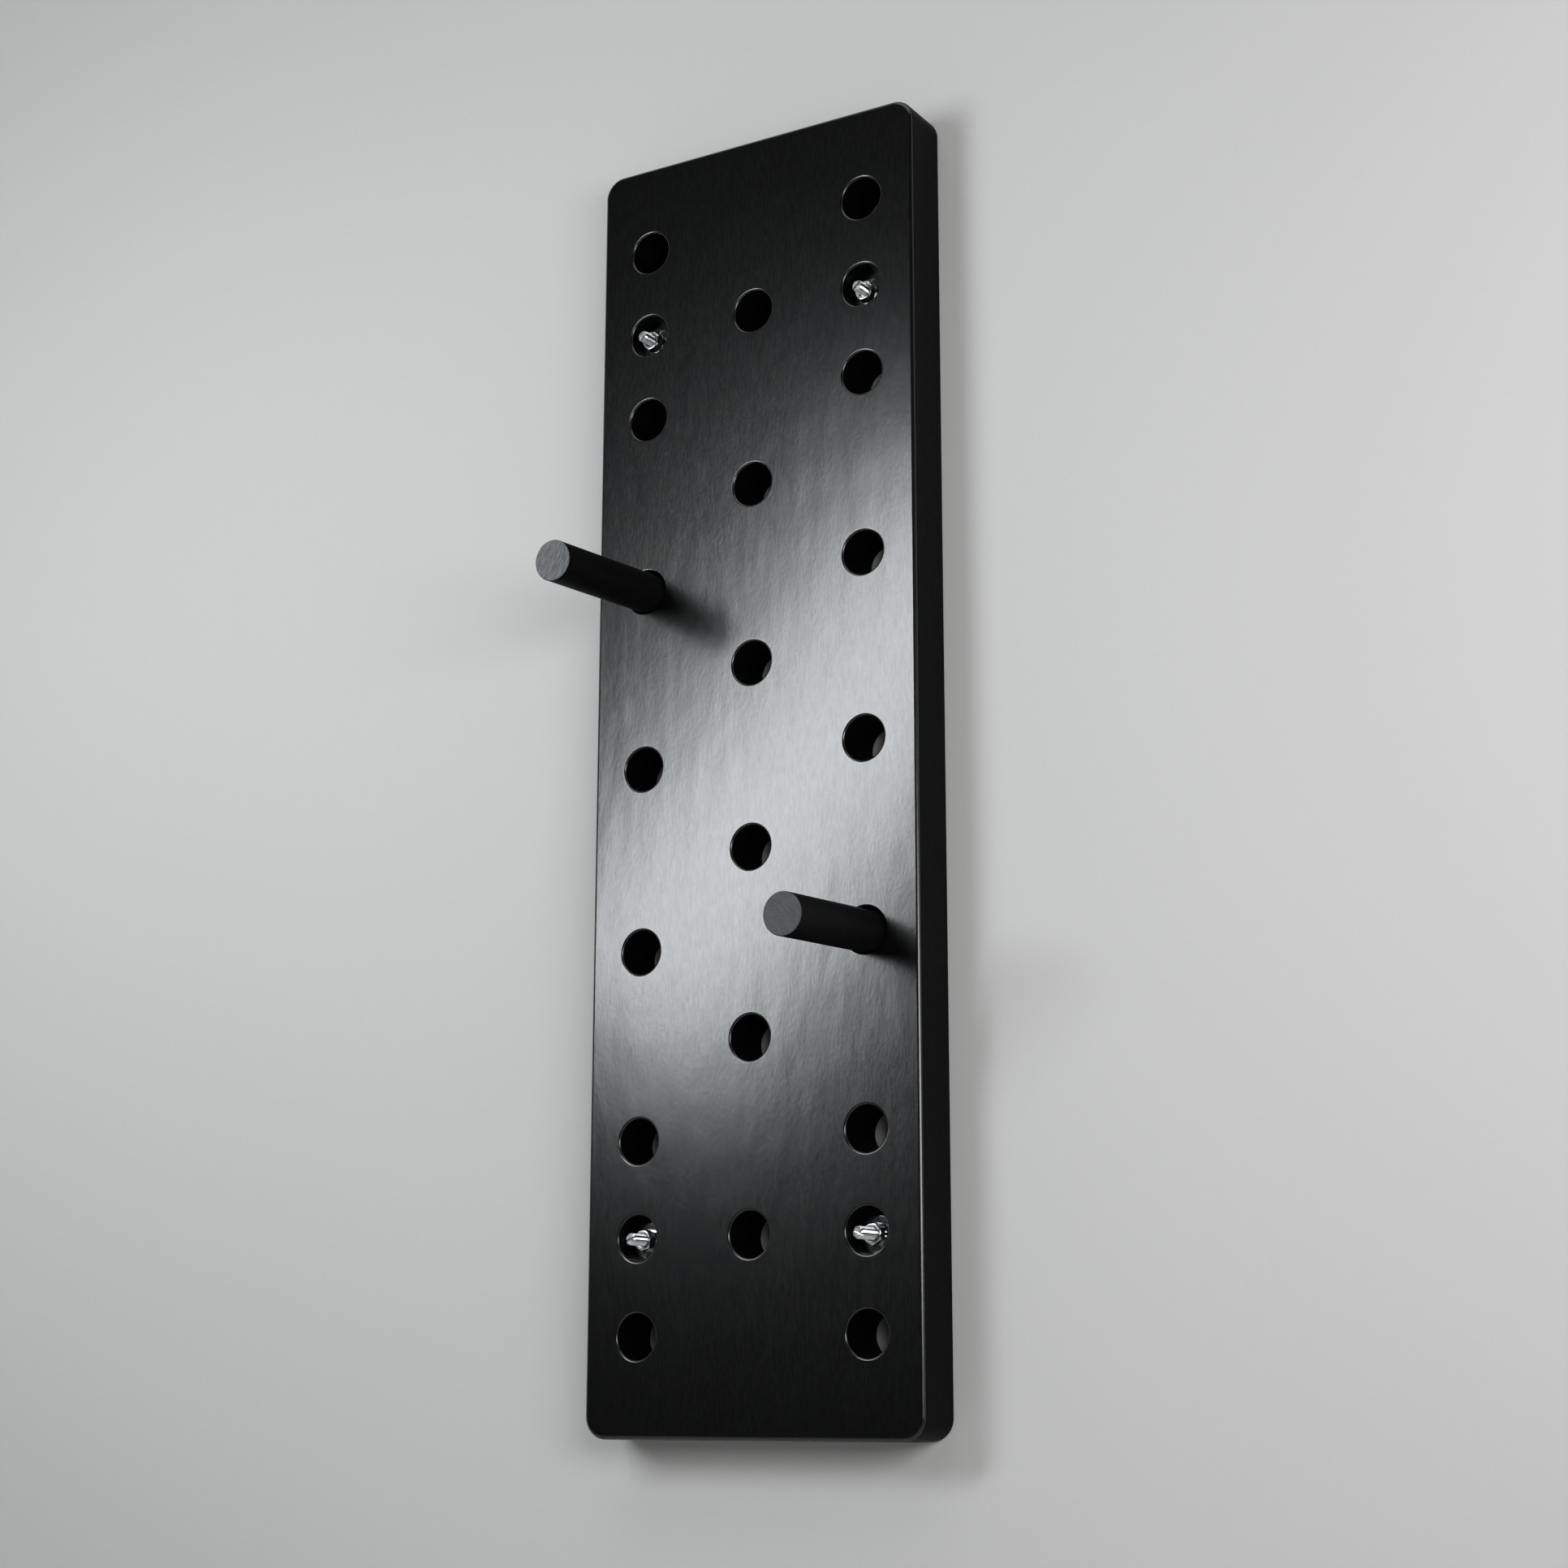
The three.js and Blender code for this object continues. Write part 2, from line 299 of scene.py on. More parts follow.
def new_group(name, kind, inputs, outputs):
    """A graph for a named group. An input's name goes with its default, or with its socket's type."""
    graph = Graph(bpy.data.node_groups.new(name, kind))
    interface = graph.tree.interface
    for label, value in inputs.items():
        if isinstance(value, str):
            interface.new_socket(name=label, in_out="INPUT", socket_type=value)
            continue
        socket = interface.new_socket(name=label, in_out="INPUT", socket_type=SOCKET_TYPES[type(value)])
        socket.default_value = value
    for label, socket_type in outputs.items():
        interface.new_socket(name=label, in_out="OUTPUT", socket_type=socket_type)
    graph.given = graph.named("NodeGroupInput")
    return graph


def give(graph, *results):
    """Links a group's results to its outputs, in their order, and gives its tree."""
    graph.node("NodeGroupOutput", dict(enumerate(results)))
    return graph.tree


def shared_group(name, build):
    """A shader node group that several materials use, built the first time that it is needed."""
    return bpy.data.node_groups.get(name) or build(name)


# Shared effects
NO_VECTOR = Vector((0.0, 0.0, 0.0))


def wood_grain_group(name):
    """Fine streaks along Z that drift sideways a little, and the broader figure that they lie in."""
    graph = new_group(
        name,
        "ShaderNodeTree",
        {
            "Vector": NO_VECTOR,
            "Streak Width": 1.2 * MM,
            "Streak Length": 20.0 * MM,
            "Drift": 3.0 * MM,
            "Seed": 0.0,
        },
        {"Streaks": "NodeSocketFloat", "Figure": "NodeSocketFloat"},
    )
    given = graph.given
    seed = given["Seed"]
    place = graph.vector_maths("ADD", given["Vector"], graph.vector(seed, seed, seed))
    sway = (graph.noise(place, scale=14.0) - 0.5) * given["Drift"]
    swayed = graph.vector_maths("ADD", place, graph.vector(sway, sway, 0.0))
    across = 1.0 / given["Streak Width"]
    along = 1.0 / given["Streak Length"]
    stretched = graph.vector_maths("MULTIPLY", swayed, graph.vector(across, across, along))
    streaks = graph.noise(stretched, detail=3.0, roughness=0.62)
    figure_place = graph.vector_maths("MULTIPLY", swayed, (60.0, 60.0, 22.0))
    return give(graph, streaks, graph.noise(figure_place, detail=1.0))


def speck_group(name):
    """Sparse round specks, such as nibs and dust leave on a finish: one in a share of its cells."""
    graph = new_group(
        name,
        "ShaderNodeTree",
        {"Vector": NO_VECTOR, "Spacing": 10.0 * MM, "Share": 0.3, "Radius": 0.5 * MM},
        {"Mask": "NodeSocketFloat"},
    )
    given = graph.given
    scale = 1.0 / given["Spacing"]
    cells = graph.named("ShaderNodeTexVoronoi", {"Vector": given["Vector"], "Scale": scale})
    chance, spread, _ = graph.axes(cells["Color"])
    radius = given["Radius"] * scale * spread
    inside = graph.remap(cells["Distance"], (radius * 0.5, radius), (1.0, 0.0))
    return give(graph, inside * (chance < given["Share"]))


# Materials
NOISE_SPAN = (0.3, 0.7)  # where most of a noise lies
MIDDLE_SPAN = (0.35, 0.65)  # a harder step through its middle
RING_SPAN = (0.38, 0.60)  # the step between two growth lines
WHITE = (1.0, 1.0, 1.0, 1.0)


def opaque(value, gain=1.0):
    """A colour property as four channels, lighter or darker by a gain."""
    return (*[channel * gain for channel in value], 1.0)


class Finish(Graph):
    """A material under construction, with its place on the piece and the effects that finishes share."""

    def __init__(self, name):
        self.material = bpy.data.materials.new(name)
        self.material.use_nodes = True
        super().__init__(self.material.node_tree)
        self.tree.nodes.clear()
        self.place = self.add("ShaderNodeTexCoord", out="Object")

    def place_on_peg(self, peg):
        """The place on a peg as it was before it was turned and moved: Z runs along it."""
        inputs = {"Vector": self.place, "Location": peg.end, "Rotation": peg.turn}
        return self.add("ShaderNodeMapping", inputs, vector_type="TEXTURE")

    def wood(self, place, width, length, drift, seed=0.0):
        """The streaks and the figure of wood."""
        group = shared_group("Wood grain", wood_grain_group)
        values = (place, width, length, drift, seed)
        return self.named("ShaderNodeGroup", dict(enumerate(values)), node_tree=group).values()

    def specks(self, place, spacing, share, radius):
        """A mask of sparse specks."""
        group = shared_group("Specks", speck_group)
        values = (place, spacing, share, radius)
        return self.add("ShaderNodeGroup", dict(enumerate(values)), node_tree=group)

    def mix(self, factor, low, high):
        """A colour between two, by a factor."""
        return self.add("ShaderNodeMix", {0: factor, 6: low, 7: high}, out=2, data_type="RGBA")

    def relief(self, *layers):
        """A normal bent by layers of relief, each a height and what a height of 1 stands for."""
        under = {}
        for height, distance in layers:
            inputs = {"Height": height, "Strength": 1.0, "Distance": distance, **under}
            under = {"Normal": self.add("ShaderNodeBump", inputs)}
        return under["Normal"]

    def shade(self, values, one_sided=False):
        """Ends the material in one shader. One-sided, it isn't there when seen from behind."""
        shader = self.add("ShaderNodeBsdfPrincipled", values)
        if one_sided:
            behind = self.add("ShaderNodeNewGeometry", out="Backfacing")
            clear = self.add("ShaderNodeBsdfTransparent")
            shader = self.add("ShaderNodeMixShader", {0: behind, 1: shader, 2: clear})
        self.node("ShaderNodeOutputMaterial", {"Surface": shader})
        return self.material


def lacquer_material(finishes):
    """Satin black lacquer that still shows the grain of the wood under it, with a few nibs in it."""
    finish = Finish("black lacquer")
    place = finish.place
    streaks, figure = finish.wood(place, width=1.4 * MM, length=7.5 * MM, drift=3.5 * MM)
    nibs = finish.specks(place, spacing=14.0 * MM, share=0.16, radius=0.9 * MM)
    dust = finish.specks(place, spacing=31.0 * MM, share=0.05, radius=0.7 * MM)
    grain = streaks * finish.remap(figure, NOISE_SPAN, (0.35, 1.0)) + figure * 6.0
    swell = finish.noise(place, scale=22.0, detail=1.0)
    peel = finish.noise(finish.vector_maths("MULTIPLY", place, (430.0, 430.0, 260.0)))
    satin, change = finishes.lacquer_roughness, finishes.lacquer_unevenness
    return finish.shade(
        {
            "Base Color": finish.mix(dust, opaque(finishes.lacquer), opaque(finishes.dust)),
            "Roughness": finish.remap(streaks, MIDDLE_SPAN, (satin - change, satin + change)),
            "Normal": finish.relief(
                (grain, 0.023 * MM), (swell, 0.12 * MM), (peel, 0.032 * MM), (nibs, 0.06 * MM)
            ),
        }
    )


def cut_wood_material(finishes):
    """Thin matt paint over cut wood: inside the holes and round the board's sides."""
    finish = Finish("matt paint on cut wood")
    rings = finish.vector_maths("MULTIPLY", finish.place, (200.0, 1400.0, 200.0))
    cutting = finish.noise(rings, detail=3.0)
    pores = finish.specks(finish.place, spacing=1.6 * MM, share=0.5, radius=0.6 * MM)
    return finish.shade(
        {
            "Base Color": finish.mix(cutting, opaque(finishes.lacquer, 0.7), opaque(finishes.lacquer, 1.6)),
            "Roughness": finish.remap(cutting, NOISE_SPAN, (0.42, 0.55)),
            "Specular IOR Level": 0.04,
            "Normal": finish.relief((cutting - pores, 0.05 * MM)),
        }
    )


def stained_side_material(finishes, peg):
    """Matt black stain along a peg, whose grain runs with it."""
    finish = Finish(f"black stain {peg.side}")
    local = finish.place_on_peg(peg)
    streaks, figure = finish.wood(
        local, width=0.9 * MM, length=30.0 * MM, drift=2.0 * MM, seed=peg.seed
    )
    return finish.shade(
        {
            "Base Color": finish.mix(streaks, opaque(finishes.stain, 0.5), opaque(finishes.stain, 2.2)),
            "Roughness": finish.remap(figure, NOISE_SPAN, (0.50, 0.62)),
            "Specular IOR Level": 0.05,
            "Normal": finish.relief((streaks, 0.06 * MM)),
        }
    )


def end_grain_material(finishes, peg):
    """Sawn and stained end grain: uneven growth lines, with the pores between them."""
    finish = Finish(f"stained end grain {peg.side}")
    local = finish.place_on_peg(peg)
    x, y, _ = finish.axes(local)
    across = x + 45.0 * MM  # the tree's middle lies beside the peg
    from_pith = finish.maths("SQRT", across * across + y * y)
    wander = finish.noise(local, scale=260.0, detail=3.0)
    ring = (from_pith + wander * (2.2 * MM)) / peg.ring_width
    lines = finish.noise(finish.vector(ring, y / (9.0 * MM), peg.seed))
    pores = finish.specks(local, spacing=0.7 * MM, share=0.6, radius=0.4 * MM)
    saw = finish.noise(local, scale=1500.0)
    tone = finish.remap(lines, RING_SPAN, (1.0 - peg.ring_contrast, 1.0))
    tone = tone * finish.remap(saw, NOISE_SPAN, (0.7, 1.3))
    tone = tone * finish.remap(pores, (0.0, 1.0), (1.0, 0.45))
    return finish.shade(
        {
            "Base Color": finish.mix(tone, opaque(finishes.stain), opaque(finishes.end_grain, peg.end_gain)),
            "Roughness": 0.6,
            "Specular IOR Level": 0.3,
            "Normal": finish.relief((tone * 0.6 + saw, 0.05 * MM)),
        }
    )


ZINC_ROUGHNESS = {"rolled zinc": (0.08, 0.15), "turned zinc": (0.20, 0.30)}


def zinc_material(name, finishes):
    """Zinc plate on steel, as smooth as the rolled or turned surface under it."""
    if name in bpy.data.materials:
        return bpy.data.materials[name]
    finish = Finish(name)
    cloud = finish.noise(finish.place, scale=450.0, detail=3.0)
    stain = finish.specks(finish.place, spacing=3.5 * MM, share=0.3, radius=1.2 * MM)
    fresh = finish.mix(
        finish.remap(cloud, MIDDLE_SPAN), opaque(finishes.plating, 0.82), opaque(finishes.plating)
    )
    return finish.shade(
        {
            "Base Color": finish.mix(stain * 0.45, fresh, opaque(finishes.plating, 0.45)),
            "Metallic": 1.0,
            "Roughness": finish.remap(cloud, NOISE_SPAN, ZINC_ROUGHNESS[name]),
            "Normal": finish.relief((cloud, 0.012 * MM)),
        }
    )


# Geometry that several trees use. A section's X runs outwards from its path, and its Y runs back.
def moved(graph, geometry, x=0.0, y=0.0, z=0.0):
    return graph.add(
        "GeometryNodeTransform", {"Geometry": geometry, "Translation": graph.vector(x, y, z)}
    )


def joined(graph, *pieces):
    return graph.add("GeometryNodeJoinGeometry", {"Geometry": list(pieces)})


def polyline(graph, *corners):
    """Lines through the corners of a section, each given by its X and Y."""
    points = [graph.vector(*corner) for corner in corners]
    lines = [
        graph.add("GeometryNodeCurvePrimitiveLine", {"Start": start, "End": end})
        for start, end in zip(points, points[1:])
    ]
    return joined(graph, *lines)


def arc(graph, centre, radius, start, sweep, steps):
    """An arc of a section, by its start angle and sweep in degrees."""
    curve = graph.add(
        "GeometryNodeCurveArc",
        {
            "Resolution": steps + 1.0,
            "Radius": radius,
            "Start Angle": math.radians(start),
            "Sweep Angle": math.radians(sweep),
        },
        mode="RADIUS",
    )
    return moved(graph, curve, *centre)


def circle(graph, radius, facets):
    return graph.add("GeometryNodeCurvePrimitiveCircle", {"Radius": radius, "Resolution": facets})


def rounded_rectangle(graph, width, height, radius, steps):
    rectangle = graph.add(
        "GeometryNodeCurvePrimitiveQuadrilateral", {"Width": width, "Height": height}
    )
    return graph.add(
        "GeometryNodeFilletCurve", {"Curve": rectangle, "Count": steps, "Radius": radius}, mode="POLY"
    )


def swept(graph, path, section, caps=False):
    inputs = {"Curve": path, "Profile Curve": section, "Fill Caps": caps}
    return graph.add("GeometryNodeCurveToMesh", inputs)


def welded(graph, mesh):
    return graph.add("GeometryNodeMergeByDistance", {"Geometry": mesh, "Distance": 0.002 * MM})


def turned(graph, section, facets):
    """The section turned about the Z axis: its X is a radius and its Y a depth behind the front."""
    hub = 1.0 * MM
    return welded(graph, swept(graph, circle(graph, hub, facets), moved(graph, section, -hub)))


def block(graph, x, y, z):
    return graph.add("GeometryNodeMeshCube", {"Size": graph.vector(x, y, z)})


def cut(graph, body, *cutters):
    """Body less its cutters."""
    inputs = {"Mesh 1": body, "Mesh 2": list(cutters)}
    return graph.add("GeometryNodeMeshBoolean", inputs, operation="DIFFERENCE", solver="EXACT")


def overlap(graph, *bodies):
    """What the bodies share."""
    inputs = {"Mesh 2": list(bodies)}
    return graph.add("GeometryNodeMeshBoolean", inputs, operation="INTERSECT", solver="EXACT")


def at_points(graph, points, instance, **choices):
    """A real copy at each point. Choices are the Selection of points and the Rotation of copies."""
    inputs = {"Points": points, "Instance": instance, **choices}
    placed = graph.add("GeometryNodeInstanceOnPoints", inputs)
    return graph.add("GeometryNodeRealizeInstances", {"Geometry": placed})


def finished(graph, geometry, material, chosen, chosen_material):
    """Ends a tree: instances are made real, and the material is set, with another on chosen faces."""
    real = graph.add("GeometryNodeRealizeInstances", {"Geometry": geometry})
    whole = graph.add("GeometryNodeSetMaterial", {"Geometry": real, "Material": material})
    chosen_part = {"Geometry": whole, "Selection": chosen, "Material": chosen_material}
    return give(graph, graph.add("GeometryNodeSetMaterial", chosen_part))


def geometry_group(name, inputs):
    return new_group(name, "GeometryNodeTree", inputs, {"Geometry": "NodeSocketGeometry"})


# Board
def edge_section(graph, radius, depth, steps, way):
    """Over a quarter-round, back along the wall and over the other round: outwards if way is 1."""
    out, low = radius * float(way), depth - radius
    return joined(
        graph,
        arc(graph, (0.0, radius), radius, -90, 90 * way, steps),
        polyline(graph, (out, radius), (out, low)),
        arc(graph, (0.0, low), radius, 90, -90 * way, steps),
    )


def pocket_section(graph, given):
    """Over the mouth's round, down to the pocket's floor, in to the bolt hole and through to the back."""
    mouth, depth = given["Mouth Radius"], given["Pocket Depth"]
    wall = -mouth
    inner = given["Bolt Hole Radius"] - (given["Bore Radius"] + mouth)
    return joined(
        graph,
        arc(graph, (0.0, mouth), mouth, -90, -90, given["Round Steps"]),
        polyline(graph, (wall, mouth), (wall, depth), (inner, depth), (inner, given["Thickness"])),
    )


def hole_choices(graph, given):
    """Which points of the grid are drilled through, and which take an anchor."""
    x, y, _ = graph.axes(graph.add("GeometryNodeInputPosition"))
    column = graph.maths("ROUND", x / given["Column Pitch"])
    row = graph.maths("ROUND", y / given["Row Pitch"])
    drilled = (column + row) % 2.0
    outer = graph.maths("COMPARE", abs(column), 1.0, 0.5)
    at_row = graph.maths("COMPARE", abs(row), given["Anchor Row"], 0.5)
    return drilled, outer * at_row * (1.0 - drilled)


def board_tree(sizes):
    """The drilled board, drawn face up with its front at Z = 0, then stood against the wall."""
    graph = geometry_group("Drilled board", sizes)
    given = graph.given
    depth, steps, edge = given["Thickness"], given["Round Steps"], given["Edge Radius"]
    outline = rounded_rectangle(
        graph,
        given["Width"] - edge * 2.0,
        given["Height"] - edge * 2.0,
        given["Corner Radius"] - edge,
        given["Corner Steps"],
    )
    grid = graph.add(
        "GeometryNodeMeshGrid",
        {
            "Size X": given["Column Pitch"] * (given["Columns"] - 1.0),
            "Size Y": given["Row Pitch"] * (given["Rows"] - 1.0),
            "Vertices X": given["Columns"],
            "Vertices Y": given["Rows"],
        },
    )
    drilled, anchored = hole_choices(graph, given)
    mouth = circle(graph, given["Bore Radius"] + given["Mouth Radius"], given["Bore Facets"])
    bolt = circle(graph, given["Bolt Hole Radius"], given["Bore Facets"])
    bore_mouths = at_points(graph, grid, mouth, Selection=drilled)
    faces = []
    for anchor_hole in (mouth, bolt):
        anchor_holes = at_points(graph, grid, anchor_hole, Selection=anchored)
        edges = joined(graph, outline, bore_mouths, anchor_holes)
        faces.append(graph.add("GeometryNodeFillCurve", {"Curve": edges}))
    front, back = faces
    bore = swept(graph, mouth, edge_section(graph, given["Mouth Radius"], depth, steps, -1))
    pocket = swept(graph, mouth, pocket_section(graph, given))
    shell = joined(
        graph,
        front,
        moved(graph, back, z=-depth),
        swept(graph, outline, edge_section(graph, edge, depth, steps, 1)),
        at_points(graph, grid, bore, Selection=drilled),
        at_points(graph, grid, pocket, Selection=anchored),
    )
    stood = graph.add(
        "GeometryNodeTransform",
        {
            "Geometry": welded(graph, shell),
            "Translation": graph.vector(0.0, -depth, 0.0),
            "Rotation": (math.radians(90), 0.0, 0.0),
        },
    )
    _, outwards, _ = graph.axes(graph.add("GeometryNodeInputNormal"))
    cut_faces = abs(outwards) < given["Cut Share"]
    return finished(graph, stood, given["Material"], cut_faces, given["Cut Material"])


# Pegs
def peg_tree(sizes):
    """A turned peg with its outer end at its point, and its own material on the end grain."""
    graph = geometry_group("Climbing peg", sizes)
    given = graph.given
    length, radius, ease = given["Length"], given["Radius"], given["End Round"]
    flat, low = radius - ease, length - ease
    section = joined(
        graph,
        polyline(graph, (0.0, 0.0), (flat, 0.0)),
        arc(graph, (flat, ease), ease, -90, 90, given["Round Steps"]),
        polyline(graph, (radius, ease), (radius, low)),
        arc(graph, (flat, low), ease, 0, 90, given["Round Steps"]),
        polyline(graph, (flat, length), (0.0, length)),
    )
    placed = graph.add(
        "GeometryNodeTransform",
        {
            "Geometry": turned(graph, section, given["Facets"]),
            "Translation": given["Place"],
            "Rotation": given["Turn"],
        },
    )
    axis = graph.add(
        "ShaderNodeVectorRotate",
        {"Vector": (0.0, 0.0, 1.0), "Rotation": given["Turn"]},
        rotation_type="EULER_XYZ",
    )
    along = graph.add(
        "ShaderNodeVectorMath",
        {0: graph.add("GeometryNodeInputNormal"), 1: axis},
        out="Value",
        operation="DOT_PRODUCT",
    )
    ends = abs(along) > given["Flat Share"]
    return finished(graph, placed, given["Side Material"], ends, given["End Material"])


class Peg:
    """Where a peg lies, from its node's box and its joint's axis, and how its wood looks."""

    def __init__(self, side, seed, grain_turn, ring_width, ring_contrast, end_gain):
        self.side = side
        low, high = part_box(f"peg_{side}")
        joint = next(j for j in frame["joints"] if j["child"] == f"{side}_peg")
        outwards = Vector(joint["axis"]).normalized()
        lean = math.asin(-outwards.z)
        self.radius = (high.x - low.x) / 2
        self.length = (high.y - low.y - 2 * self.radius * math.sin(lean)) / math.cos(lean)
        self.end = (low + high) / 2 + outwards * self.length / 2
        stand = Matrix.Rotation(math.radians(90) + lean, 3, "X")
        self.turn = (stand @ Matrix.Rotation(math.radians(grain_turn), 3, "Z")).to_euler()
        self.seed = seed
        self.ring_width = ring_width
        self.ring_contrast = ring_contrast
        self.end_gain = end_gain


# Anchors, nuts and washers
FRONT_FACING = -0.9  # a face's normal along Y, from which it counts as a cut front
THREAD_FLANK = (0.2, 0.9)  # where a groove starts and ends, as shares of the way to its middle
SHANK_LAP = 0.9  # how far the shank reaches into the thread, as a share of its core
CORNER_LAP = 1.002  # the nut's turning cut stands just clear of its corners between the chamfers
NUT_BEVEL = 0.12 * MM
NUT_SHARP_ANGLE = 18
SLIT_ANGLES = (45, 135, 225, 315)


def fixing_tree(name, sizes, build):
    """A tree that puts a piece, drawn with its front at Z = 0, at each anchor with its own turn."""
    graph = geometry_group(name, {"Points": "NodeSocketGeometry", **sizes})
    given = graph.given
    turn = graph.add("GeometryNodeInputNamedAttribute", {"Name": "turn"}, data_type="FLOAT")
    rotation = graph.vector(math.radians(90), turn, 0.0)
    placed = at_points(graph, given["Points"], build(graph, given), Rotation=rotation)
    _, depthwise, _ = graph.axes(graph.add("GeometryNodeInputNormal"))
    fronts = depthwise < FRONT_FACING
    return finished(graph, placed, given["Material"], fronts, given["Front Material"])


def thread_places(graph, given):
    """Where a rod's points go to cut its thread: a right-hand V thread, eased at the tip."""
    x, y, z = graph.axes(graph.add("GeometryNodeInputPosition"))
    radius = given["Stud Radius"]
    turns = graph.maths("ARCTAN2", y, x) / (2 * math.pi)
    phase = (z / given["Thread Pitch"] - turns) % 1.0
    groove = graph.remap(abs(phase * 2.0 - 1.0), THREAD_FLANK)
    thread = radius - groove * given["Thread Depth"]
    eased = radius - given["Chamfer"] - z
    scale = graph.maths("MINIMUM", thread, eased) / radius
    return graph.vector(x * scale, y * scale, z)


def build_stud(graph, given):
    """The threaded end with its slot, and behind it the shank and the cone that spreads the sleeve."""
    length, radius, whole = given["Thread Length"], given["Stud Radius"], given["Length"]
    rings = graph.maths("ROUND", length / given["Thread Pitch"] * given["Rings per Turn"])
    rod = graph.add(
        "GeometryNodeMeshCylinder",
        {"Vertices": given["Facets"], "Side Segments": rings, "Radius": radius, "Depth": length},
    )
    thread = graph.add(
        "GeometryNodeSetPosition",
        {"Geometry": moved(graph, rod, z=length * -0.5), "Position": thread_places(graph, given)},
    )
    slot = block(graph, radius * 4.0, given["Slot Width"], given["Slot Depth"] * 2.0)
    core = (radius - given["Thread Depth"]) * SHANK_LAP
    start, cone = length - given["Thread Pitch"], given["Cone Radius"]
    section = polyline(
        graph,
        (0.0, start),
        (core, start),
        (radius, length + given["Chamfer"]),
        (radius, whole - given["Cone Length"]),
        (cone, whole - given["Cone Tip"]),
        (cone, whole),
        (0.0, whole),
    )
    shank = turned(graph, section, given["Facets"])
    return joined(graph, cut(graph, thread, slot), shank)


def build_nut(graph, given):
    """A hexagon prism whose corners are turned off at both ends, bored and countersunk."""
    width, height, fall = given["Width"], given["Height"], given["Chamfer Fall"]
    corner = width / math.sqrt(3)
    blank = graph.add(
        "GeometryNodeMeshCylinder", {"Vertices": 6, "Radius": corner, "Depth": height}
    )
    prism = graph.add(
        "GeometryNodeTransform",
        {
            "Geometry": blank,
            "Translation": graph.vector(0.0, 0.0, height * -0.5),
            "Rotation": (0.0, 0.0, math.radians(30)),
        },
    )
    face, wide, low = width * given["Face Share"], corner * CORNER_LAP, height - fall
    turning = polyline(
        graph, (0.0, 0.0), (face, 0.0), (wide, fall), (wide, low), (face, height), (0.0, height)
    )
    sink, bore = given["Countersink"], given["Bore Radius"]
    mouth, above, below = bore + (sink + height), -height, height * 2.0
    boring = polyline(
        graph,
        (0.0, above),
        (mouth, above),
        (bore, sink),
        (bore, height - sink),
        (mouth, below),
        (0.0, below),
    )
    turned_off = overlap(graph, prism, turned(graph, turning, given["Facets"]))
    return cut(graph, turned_off, turned(graph, boring, given["Facets"]))


def ring_section(graph, given):
    """The rounded section of a washer behind its front, and the radius that it is swept round."""
    inner, outer, thick = given["Inner Radius"], given["Outer Radius"], given["Thickness"]
    section = rounded_rectangle(graph, outer - inner, thick, given["Round"], 3)
    return moved(graph, section, y=thick * 0.5), (inner + outer) * 0.5


def build_flat_washer(graph, given):
    """A stamped washer with eased edges."""
    section, middle = ring_section(graph, given)
    return swept(graph, circle(graph, middle, given["Facets"]), section)


def build_lock_washer(graph, given):
    """A spring washer closed flat by its nut, split at its right."""
    section, middle = ring_section(graph, given)
    half_split = graph.maths("ARCSINE", given["Split"] / (middle * 2.0))
    path = graph.add(
        "GeometryNodeCurveArc",
        {
            "Resolution": given["Facets"],
            "Radius": middle,
            "Start Angle": half_split,
            "Sweep Angle": 2 * math.pi - half_split * 2.0,
        },
        mode="RADIUS",
    )
    return swept(graph, path, section, caps=True)


def build_sleeve(graph, given):
    """A tube slit from its inner end, where the stud's cone has spread it."""
    inner, length, flare = given["Inner Radius"], given["Length"], given["Flare"]
    outer = inner + given["Wall"]
    flare_start, wide = length - given["Wedge"], outer + flare
    section = polyline(
        graph,
        (inner, 0.0),
        (outer, 0.0),
        (outer, flare_start),
        (wide, length),
        (inner + flare, length),
        (inner, flare_start),
        (inner, 0.0),
    )
    slit = block(graph, wide * 2.0, given["Slit Width"], given["Slit Length"] * 2.0)
    slit = moved(graph, slit, wide, 0.0, -length)
    slits = [
        graph.add(
            "GeometryNodeTransform", {"Geometry": slit, "Rotation": (0.0, 0.0, math.radians(angle))}
        )
        for angle in SLIT_ANGLES
    ]
    return cut(graph, turned(graph, section, given["Facets"]), *slits)


def anchor_points(node, turns):
    """A mesh of one point for each anchor, at the front of its piece, with the piece's turn."""
    mesh = bpy.data.meshes.new(f"{node} places")
    places = []
    for anchor in ANCHORS:
        nut_low, nut_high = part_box(f"hex_nut_{anchor}")
        axis = (nut_low + nut_high) / 2
        places.append((axis.x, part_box(f"{node}_{anchor}")[0].y, axis.z))
    mesh.from_pydata(places, [], [])
    attribute = mesh.attributes.new("turn", "FLOAT", "POINT")
    attribute.data.foreach_set("value", [math.radians(turn) for turn in turns])
    return mesh


# From trees to pieces
SHARP_ANGLE = 35
WELD_DISTANCE = 0.001 * MM


def in_scene(name, data):
    """A new object in the scene."""
    one = bpy.data.objects.new(name, data)
    bpy.context.scene.collection.objects.link(one)
    return one


def made(name, tree, sizes, base=None):
    """The plain mesh object that a geometry tree makes with these sizes."""
    piece = in_scene(name, base or bpy.data.meshes.new(name))
    modifier = piece.modifiers.new("maker", "NODES")
    modifier.node_group = tree
    for socket in tree.interface.items_tree:
        if socket.in_out == "INPUT" and socket.name in sizes:
            modifier[socket.identifier] = sizes[socket.name]
    evaluated = piece.evaluated_get(bpy.context.evaluated_depsgraph_get())
    mesh = bpy.data.meshes.new_from_object(evaluated)
    mesh.name = name
    while None in mesh.materials[:]:
        mesh.materials.pop(index=mesh.materials[:].index(None))
    piece.modifiers.remove(modifier)
    piece.data = mesh
    return piece


